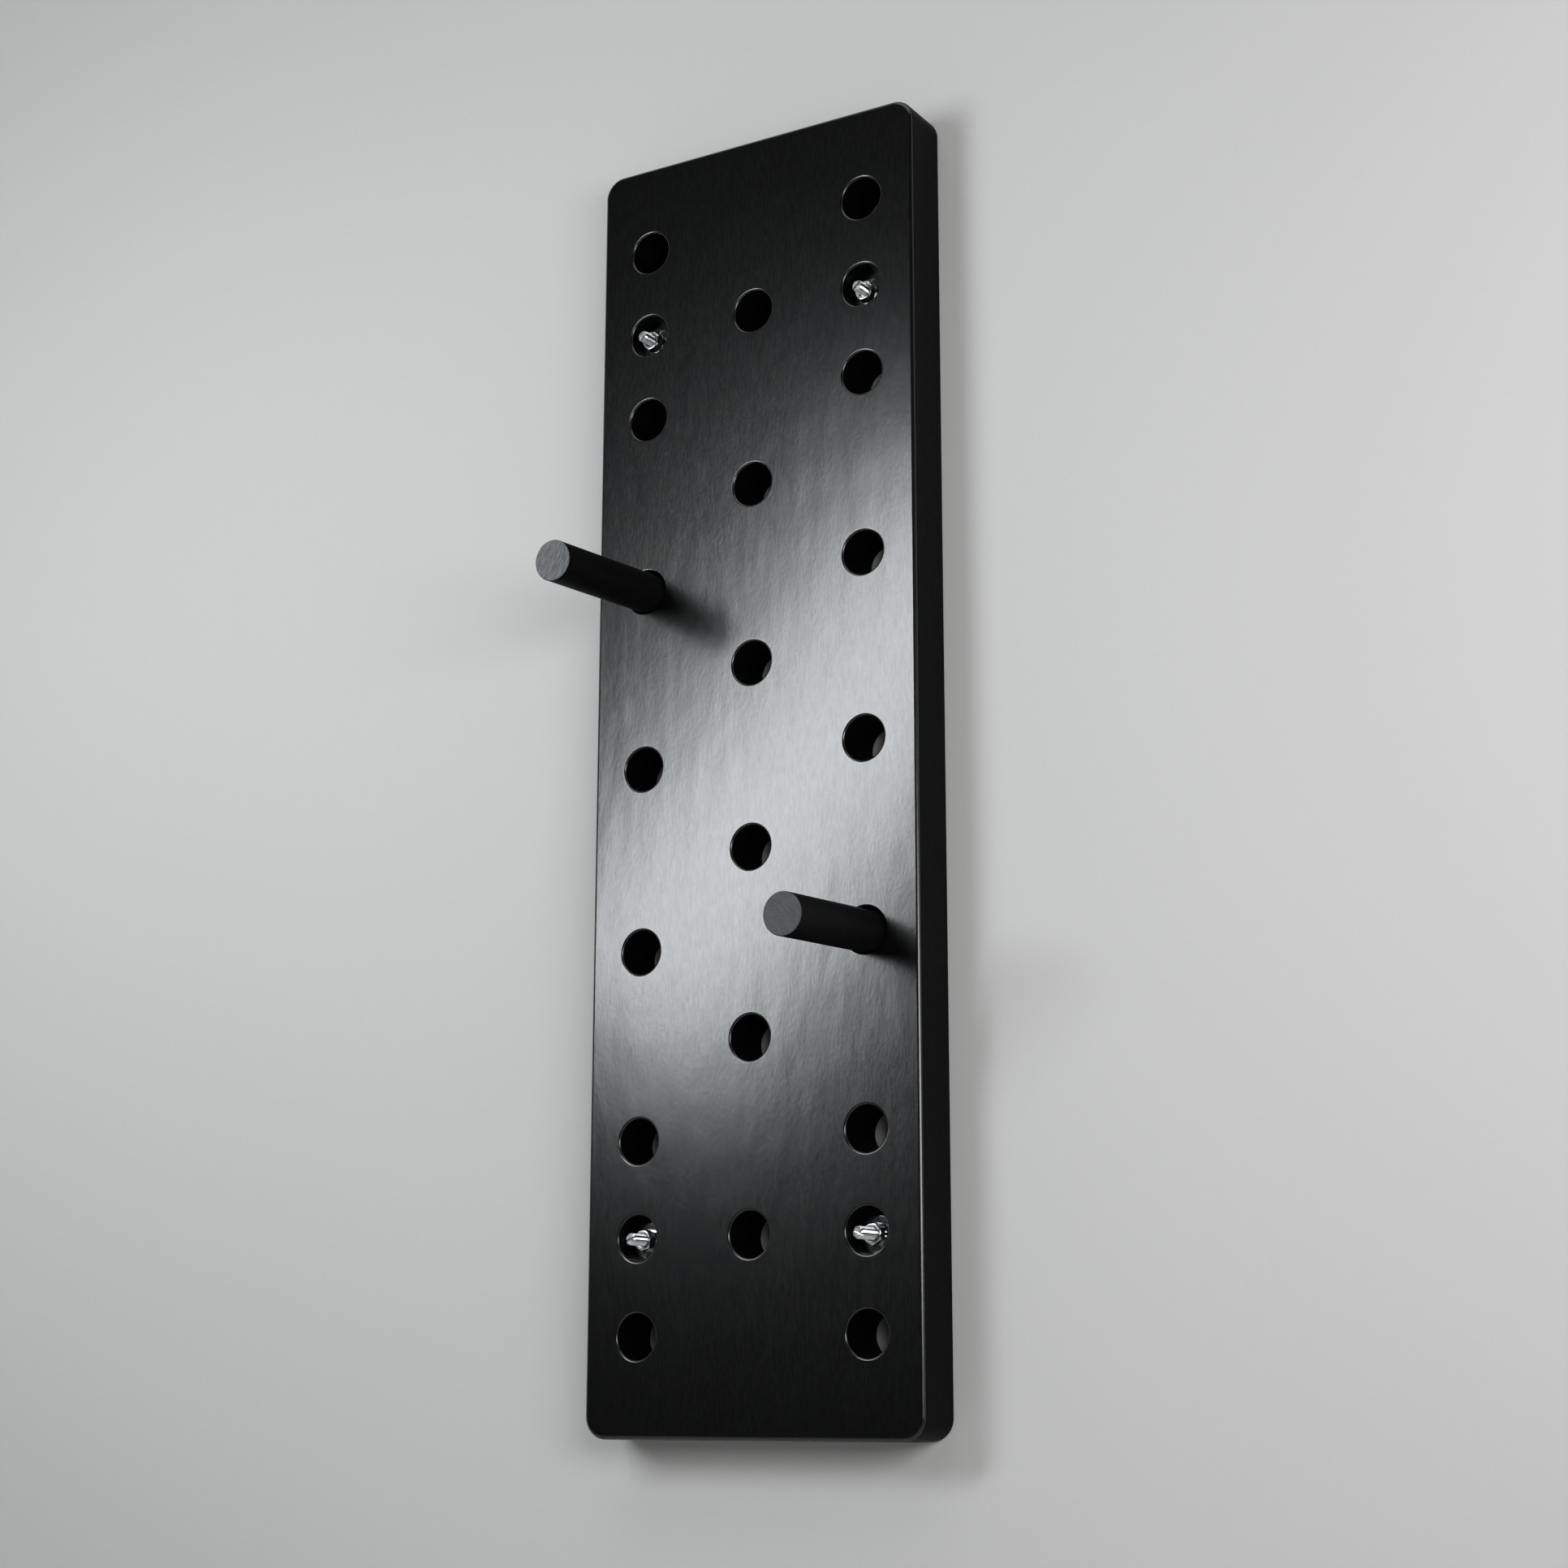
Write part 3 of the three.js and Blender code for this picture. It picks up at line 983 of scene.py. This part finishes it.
def settled(piece, sharp_angle=SHARP_ANGLE, bevel=0.0):
    """Turns a piece's faces outwards, checks that it is closed, and shades its curves smooth."""
    form = bmesh.new()
    form.from_mesh(piece.data)
    bmesh.ops.remove_doubles(form, verts=form.verts, dist=WELD_DISTANCE)
    bmesh.ops.dissolve_degenerate(form, edges=form.edges, dist=WELD_DISTANCE / 2)
    bmesh.ops.recalc_face_normals(form, faces=form.faces)
    if not form.faces or any(not edge.is_manifold for edge in form.edges):
        raise RuntimeError(f"{piece.name} isn't a closed mesh")
    form.to_mesh(piece.data)
    form.free()
    piece.data.shade_smooth()
    piece.data.set_sharp_from_angle(angle=math.radians(sharp_angle))
    if bevel:
        edge = piece.modifiers.new("eased edges", "BEVEL")
        edge.width = bevel
        edge.segments = 2
        edge.limit_method = "ANGLE"
        edge.angle_limit = math.radians(sharp_angle)
        edge.harden_normals = False
    weight = piece.modifiers.new("flat faces first", "WEIGHTED_NORMAL")
    weight.keep_sharp = True
    weight.weight = 100
    return piece


def carried(piece, body, nodes):
    """Puts a finished piece in the frame: hides the parts that it takes the place of, and hangs it on the
    body that it rides on.
    """
    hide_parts(*nodes)
    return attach(piece, body)


# Studio
WALL_GAP = 0.3 * MM
WINDOW_LAP = 1.0 * MM  # how far the wall reaches in behind the board's flat back
WINDOW_STEPS = 8
PATCH_SIDES = 32
WALL_REACH = 3.2
FLOOR_REACH = 4.0
FLOOR_DROP = 1.35
CARD_DISTANCE = 3.4
CARD_REACH = 7.8


def stage_mesh(name, corners, faces, material):
    mesh = bpy.data.meshes.new(name)
    mesh.from_pydata(corners, [], faces)
    mesh.materials.append(material)
    stage_piece = in_scene(name, mesh)
    return stage_piece


def plain_material(name, value, one_sided=False):
    """A plain matt surface."""
    finish = Finish(name)
    mottle = finish.noise(finish.place, scale=3.0)
    return finish.shade(
        {
            "Base Color": finish.mix(mottle, opaque(value, 0.985), opaque(value)),
            "Roughness": 0.9,
            "Specular IOR Level": 0.2,
        },
        one_sided,
    )


def rectangle(low, high):
    """The four corners between two, which are pairs."""
    return [low, (high[0], low[1]), high, (low[0], high[1])]


def rounded_outline(half_width, half_height, radius):
    """Points round a rectangle with rounded corners, in the wall's plane."""
    points = []
    for quarter, (side, end) in enumerate(((1, 1), (-1, 1), (-1, -1), (1, -1))):
        for step in range(WINDOW_STEPS + 1):
            angle = (quarter + step / WINDOW_STEPS) * math.pi / 2
            x = side * (half_width - radius) + radius * math.cos(angle)
            z = end * (half_height - radius) + radius * math.sin(angle)
            points.append((x, z))
    return points


def hole_patches(radius):
    """Points round each peg hole, in the wall's plane."""
    angles = [2 * math.pi * side / PATCH_SIDES for side in range(PATCH_SIDES)]
    for row in range(-(ROWS // 2), ROWS // 2 + 1):
        for column in (-1, 0, 1):
            if (row + column) % 2:
                x, z = column * COLUMN_PITCH, row * ROW_PITCH
                yield [(x + radius * math.cos(angle), z + radius * math.sin(angle)) for angle in angles]


def build_wall(studio, board):
    """The wall's face, left open behind the board, with a patch of it behind each peg hole."""
    inset = board.edge_radius + WINDOW_LAP
    window = rounded_outline(
        BOARD_SIZE.x / 2 - inset, BOARD_SIZE.z / 2 - inset, board.corner_radius - inset
    )
    rim = rectangle((-WALL_REACH, -FLOOR_DROP), (WALL_REACH, WALL_REACH))
    loops = [[Vector((x, z, 0.0)) for x, z in loop] for loop in (rim, window)]
    faces = [list(face) for face in tessellate_polygon(loops)]
    points = [*rim, *window]
    for patch in hole_patches(board.bore_radius + 2 * board.mouth_radius):
        faces.append(list(range(len(points), len(points) + PATCH_SIDES)))
        points += patch
    corners = [(x, WALL_GAP, z) for x, z in points]
    material = plain_material("pale wall", studio.wall, one_sided=True)
    turn_towards_room(stage_mesh("wall", corners, faces, material).data)


def turn_towards_room(mesh):
    """Turns every face of the wall to -Y."""
    form = bmesh.new()
    form.from_mesh(mesh)
    form.normal_update()
    bmesh.ops.reverse_faces(form, faces=[face for face in form.faces if face.normal.y > 0])
    form.to_mesh(mesh)
    form.free()


def build_floor(studio):
    square = rectangle((-FLOOR_REACH, -FLOOR_REACH), (FLOOR_REACH, FLOOR_REACH))
    corners = [(x, y, -FLOOR_DROP) for x, y in square]
    stage_mesh("floor", corners, [(0, 1, 2, 3)], plain_material("pale floor", studio.floor))


def build_card(studio):
    """A black card far in front, out of the camera's sight, which the lacquer mirrors as a dark room."""
    square = rectangle((-CARD_REACH, -CARD_REACH), (CARD_REACH, CARD_REACH))
    corners = [(x, -CARD_DISTANCE, z) for x, z in square]
    card = stage_mesh("black card", corners, [(0, 1, 2, 3)], plain_material("black card", studio.card))
    card.visible_camera = False


# Each lamp takes the power that the studio gives for its kind: key, fill, wash, back or wall.
# The wall lamps' beams are narrow, so that they light the wall's ends and not the board.
LAMPS = {
    "key lamp": {
        "place": (-0.592, -1.123, 0.281),
        "size": (0.27, 0.765),
        "roll": -39.6,
        "tint": (0.94, 0.98, 1.0),
    },
    "fill lamp": {"place": (1.12, -1.10, -0.065), "aim": (0.05, 0.0, -0.02), "size": (0.9, 0.5)},
    "wash lamp": {"place": (0.3, -1.8, 3.0), "aim": (0.1, 0.0, 0.0), "size": (3.0, 1.6)},
    "back lamp": {"place": (0.9, 1.9, 1.1), "size": (1.4, 1.4)},
    "left wall lamp": {
        "place": (1.6, -2.6, 1.4),
        "aim": (-3.0, 0.0, 0.0),
        "size": (0.8, 0.8),
        "spread": 38.0,
    },
    "right wall lamp": {
        "place": (-1.6, -2.6, 1.4),
        "aim": (3.0, 0.0, 0.0),
        "size": (0.8, 0.8),
        "spread": 38.0,
    },
}
CAMERA_PLACE = (0.9259, -1.5167, -0.4254)
CAMERA_TURN = (103.068, -0.073, 31.336)
CAMERA_LENS = 61.08
CAMERA_SENSOR = 36.0


def add_lamp(name, watts, place, size, aim=(0.0, 0.0, 0.0), roll=0.0, tint=(1.0, 1.0, 1.0), spread=180.0):
    """A soft rectangular lamp that points at aim, with its roll and the spread of its beam in degrees."""
    data = bpy.data.lights.new(name, "AREA")
    data.shape = "RECTANGLE"
    data.size, data.size_y = size
    data.energy = watts
    data.color = tint
    data.spread = math.radians(spread)
    lamp = in_scene(name, data)
    away = (Vector(place) - Vector(aim)).normalized()
    right = Vector((0.0, 0.0, 1.0)).cross(away).normalized()
    up = away.cross(right)
    stand = Matrix((right, up, away)).transposed() @ Matrix.Rotation(math.radians(roll), 3, "Z")
    lamp.matrix_world = Matrix.Translation(place) @ stand.to_4x4()
    lamp.visible_camera = False


def build_lamps(studio):
    for name, lamp in LAMPS.items():
        kind = name.split()[-2]
        add_lamp(name, getattr(studio, f"{kind}_power"), **lamp)


def build_room_light(studio):
    world = bpy.data.worlds.new("room light")
    world.use_nodes = True
    graph = Graph(world.node_tree)
    graph.tree.nodes.clear()
    light = graph.add("ShaderNodeBackground", {"Color": WHITE, "Strength": studio.room_light})
    graph.node("ShaderNodeOutputWorld", {"Surface": light})
    bpy.context.scene.world = world


def build_camera():
    data = bpy.data.cameras.new("camera")
    data.lens = CAMERA_LENS
    data.sensor_width = CAMERA_SENSOR
    camera = in_scene("camera", data)
    camera.location = CAMERA_PLACE
    camera.rotation_euler = [math.radians(angle) for angle in CAMERA_TURN]
    bpy.context.scene.camera = camera


# Operators
class PEGBOARD_OT_board(bpy.types.Operator):
    """Build the drilled and lacquered board"""

    bl_idname = "pegboard.board"
    bl_label = "Board"

    def execute(self, context):
        board, finishes = context.scene.pegboard_board, context.scene.pegboard_finishes
        sizes = {
            "Width": BOARD_SIZE.x,
            "Height": BOARD_SIZE.z,
            "Thickness": BOARD_SIZE.y,
            "Corner Radius": board.corner_radius,
            "Edge Radius": board.edge_radius,
            "Column Pitch": COLUMN_PITCH,
            "Row Pitch": ROW_PITCH,
            "Columns": COLUMNS,
            "Rows": ROWS,
            "Anchor Row": ANCHOR_ROW,
            "Bore Radius": board.bore_radius,
            "Mouth Radius": board.mouth_radius,
            "Pocket Depth": board.pocket_depth,
            "Bolt Hole Radius": board.bolt_hole_radius,
            "Bore Facets": board.bore_facets,
            "Round Steps": board.round_steps,
            "Corner Steps": board.corner_steps,
            "Cut Share": board.cut_share,
            "Material": lacquer_material(finishes),
            "Cut Material": cut_wood_material(finishes),
        }
        piece = settled(made("drilled_board", board_tree(sizes), sizes))
        carried(piece, "wall_board", ["board"])
        return {"FINISHED"}


class PEGBOARD_OT_pegs(bpy.types.Operator):
    """Build the two stained pegs, each leaning in its hole"""

    bl_idname = "pegboard.pegs"
    bl_label = "Pegs"

    def execute(self, context):
        pegs, finishes = context.scene.pegboard_pegs, context.scene.pegboard_finishes
        looks = (
            Peg("left", seed=3.1, grain_turn=-28, ring_width=0.8 * MM, ring_contrast=0.6, end_gain=1.75),
            Peg("right", seed=8.7, grain_turn=40, ring_width=0.6 * MM, ring_contrast=0.4, end_gain=0.85),
        )
        tree = None
        for peg in looks:
            sizes = {
                "Length": peg.length,
                "Radius": peg.radius,
                "End Round": pegs.end_round,
                "Turn": peg.turn,
                "Place": peg.end,
                "Facets": pegs.facets,
                "Round Steps": pegs.round_steps,
                "Flat Share": pegs.flat_share,
                "Side Material": stained_side_material(finishes, peg),
                "End Material": end_grain_material(finishes, peg),
            }
            tree = tree or peg_tree(sizes)
            piece = settled(made(f"climbing_peg_{peg.side}", tree, sizes))
            carried(piece, f"{peg.side}_peg", [f"peg_{peg.side}"])
        return {"FINISHED"}


class FixingOperator:
    """What the anchors' operators share: one finished mesh for the four like pieces"""

    def make(self, context, name, node, build, sizes, turns=NO_TURNS, cut_fronts=False, **settling):
        finishes = context.scene.pegboard_finishes
        sizes = {
            **sizes,
            "Facets": context.scene.pegboard_fixings.facets,
            "Material": zinc_material("rolled zinc", finishes),
            "Front Material": zinc_material("turned zinc" if cut_fronts else "rolled zinc", finishes),
        }
        tree = fixing_tree(name.replace("_", " "), sizes, build)
        piece = settled(made(name, tree, sizes, anchor_points(node, turns)), **settling)
        carried(piece, "wall_board", [f"{node}_{anchor}" for anchor in ANCHORS])
        return {"FINISHED"}


class PEGBOARD_OT_studs(bpy.types.Operator, FixingOperator):
    """Build the four threaded and slotted anchor studs"""

    bl_idname = "pegboard.studs"
    bl_label = "Anchor studs"

    def execute(self, context):
        fixings = context.scene.pegboard_fixings
        low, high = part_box("anchor_stud_upper_left")
        sizes = {
            "Length": high.y - low.y,
            "Stud Radius": fixings.stud_radius,
            "Chamfer": fixings.stud_chamfer,
            "Thread Pitch": fixings.thread_pitch,
            "Thread Depth": fixings.thread_depth,
            "Thread Length": fixings.thread_length,
            "Rings per Turn": fixings.rings_per_turn,
            "Slot Width": fixings.slot_width,
            "Slot Depth": fixings.slot_depth,
            "Cone Length": fixings.cone_length,
            "Cone Tip": fixings.cone_tip,
            "Cone Radius": (high.x - low.x) / 2,
        }
        return self.make(
            context, "threaded_studs", "anchor_stud", build_stud, sizes, SLOT_TURNS, cut_fronts=True
        )


class PEGBOARD_OT_sleeves(bpy.types.Operator, FixingOperator):
    """Build the four slit expansion sleeves in the wall"""

    bl_idname = "pegboard.sleeves"
    bl_label = "Expansion sleeves"

    def execute(self, context):
        fixings = context.scene.pegboard_fixings
        low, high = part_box("anchor_sleeve_upper_left")
        inner = fixings.stud_radius + fixings.washer_play
        sizes = {
            "Length": high.y - low.y,
            "Inner Radius": inner,
            "Wall": fixings.sleeve_wall,
            "Wedge": fixings.sleeve_wedge,
            "Flare": (high.x - low.x) / 2 - inner - fixings.sleeve_wall,
            "Slit Length": fixings.slit_length,
            "Slit Width": fixings.slit_width,
        }
        return self.make(context, "expansion_sleeves", "anchor_sleeve", build_sleeve, sizes)


class PEGBOARD_OT_nuts(bpy.types.Operator, FixingOperator):
    """Build the four chamfered hexagon nuts"""

    bl_idname = "pegboard.nuts"
    bl_label = "Hexagon nuts"

    def execute(self, context):
        fixings = context.scene.pegboard_fixings
        low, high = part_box("hex_nut_upper_left")
        sizes = {
            "Width": fixings.nut_width,
            "Height": high.y - low.y,
            "Chamfer Fall": fixings.nut_fall,
            "Face Share": fixings.nut_face,
            "Bore Radius": fixings.stud_radius + fixings.bore_play,
            "Countersink": fixings.nut_countersink,
        }
        settling = {"sharp_angle": NUT_SHARP_ANGLE, "bevel": NUT_BEVEL}
        return self.make(
            context, "hexagon_nuts", "hex_nut", build_nut, sizes, NUT_TURNS, cut_fronts=True, **settling
        )


class PEGBOARD_OT_washers(bpy.types.Operator, FixingOperator):
    """Build the four flat washers and the four spring lock washers"""

    bl_idname = "pegboard.washers"
    bl_label = "Washers"

    def execute(self, context):
        fixings = context.scene.pegboard_fixings
        for name, node, build in (
            ("flat_washers", "flat_washer", build_flat_washer),
            ("spring_lock_washers", "lock_washer", build_lock_washer),
        ):
            low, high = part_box(f"{node}_upper_left")
            sizes = {
                "Inner Radius": fixings.stud_radius + fixings.washer_play,
                "Outer Radius": (high.z - low.z) / 2,
                "Thickness": high.y - low.y,
                "Round": fixings.washer_round,
            }
            if build is build_lock_washer:
                sizes["Split"] = fixings.split_width
            self.make(context, name, node, build, sizes)
        return {"FINISHED"}


class PEGBOARD_OT_studio(bpy.types.Operator):
    """Build the wall, the floor, the black card, the lamps and the camera"""

    bl_idname = "pegboard.studio"
    bl_label = "Studio"

    def execute(self, context):
        scene = context.scene
        studio = scene.pegboard_studio
        build_wall(studio, scene.pegboard_board)
        build_floor(studio)
        build_card(studio)
        build_lamps(studio)
        build_room_light(studio)
        build_camera()
        scene.view_settings.view_transform = "Standard"
        return {"FINISHED"}


PROPERTY_GROUPS = {
    "pegboard_board": PegboardBoardSizes,
    "pegboard_pegs": PegboardPegSizes,
    "pegboard_fixings": PegboardFixingSizes,
    "pegboard_finishes": PegboardFinishes,
    "pegboard_studio": PegboardStudio,
}
OPERATORS = (
    PEGBOARD_OT_board,
    PEGBOARD_OT_pegs,
    PEGBOARD_OT_studs,
    PEGBOARD_OT_sleeves,
    PEGBOARD_OT_washers,
    PEGBOARD_OT_nuts,
    PEGBOARD_OT_studio,
)


class PEGBOARD_PT_panel(bpy.types.Panel):
    """The pieces of the pegboard, with the sizes and colours behind them"""

    bl_label = "Climbing pegboard"
    bl_idname = "PEGBOARD_PT_panel"
    bl_space_type = "VIEW_3D"
    bl_region_type = "UI"
    bl_category = "Pegboard"

    def draw(self, context):
        for operator in OPERATORS:
            self.layout.operator(operator.bl_idname)
        for attribute, group in PROPERTY_GROUPS.items():
            box = self.layout.box()
            box.label(text=group.__doc__)
            for name in group.__annotations__:
                box.prop(getattr(context.scene, attribute), name)


CLASSES = (*PROPERTY_GROUPS.values(), *OPERATORS, PEGBOARD_PT_panel)


def register():
    for one in CLASSES:
        bpy.utils.register_class(one)
    for attribute, group in PROPERTY_GROUPS.items():
        setattr(bpy.types.Scene, attribute, bpy.props.PointerProperty(type=group))


def unregister():
    for attribute in PROPERTY_GROUPS:
        delattr(bpy.types.Scene, attribute)
    for one in reversed(CLASSES):
        bpy.utils.unregister_class(one)


def main():
    register()
    for operator in OPERATORS:
        getattr(bpy.ops.pegboard, operator.bl_idname.split(".")[1])()


if __name__ == "__main__":
    main()
